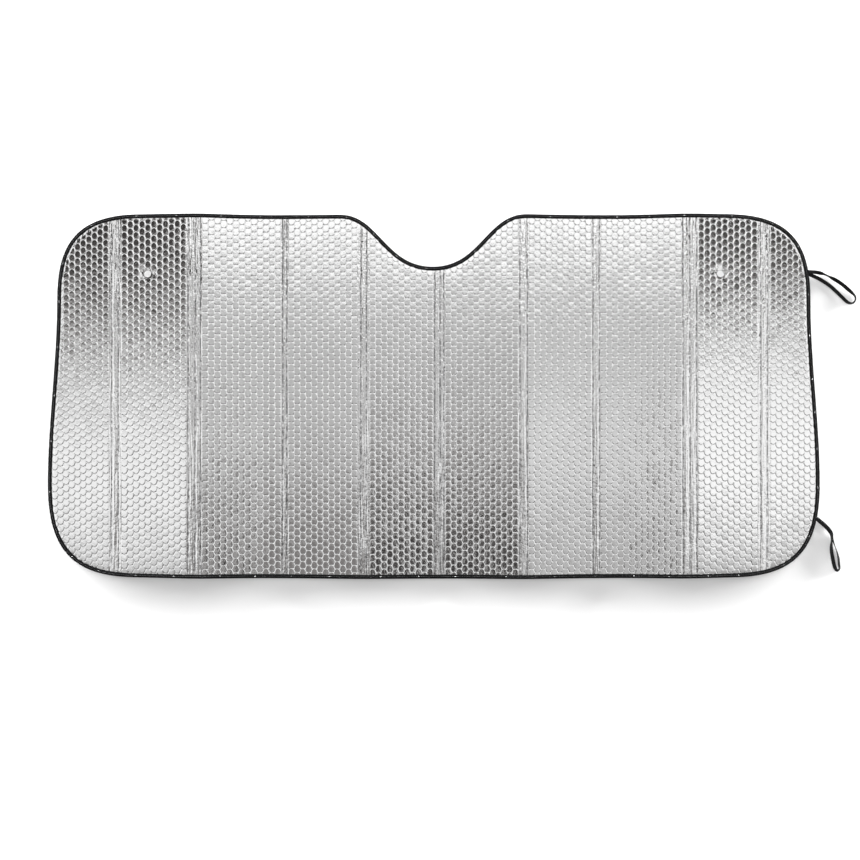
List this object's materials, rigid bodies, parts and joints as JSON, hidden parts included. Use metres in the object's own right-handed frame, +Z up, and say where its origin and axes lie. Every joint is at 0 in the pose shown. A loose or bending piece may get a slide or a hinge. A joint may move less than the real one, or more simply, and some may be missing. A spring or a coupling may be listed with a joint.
{
  "type": "windscreen sunshade",
  "caption": "Opened-out concertina sunshade of silver bubble foil with a rear-view mirror notch, suction cup holes, black bound edge and elastic loops.",
  "frame": {"origin": "on the floor, under the middle of the opened sheet's box without the elastic loops", "axes": "+X across the windscreen, towards the elastic loops; +Y up the windscreen, towards the mirror notch; +Z up from the floor, out of the silver face"},
  "size_m": [1.3392, 0.603, 0.0155],
  "materials": {
    "silver_foil": "bright metallised film over bubbles",
    "black_tape": "woven binding tape, slight sheen",
    "black_elastic": "flat braided elastic, matt"
  },
  "bodies": {
    "root": {"foil_bubble_panel": "silver_foil", "edge_binding": "black_tape", "upper_elastic_loop": "black_elastic", "lower_elastic_loop": "black_elastic"}
  },
  "joints": []
}
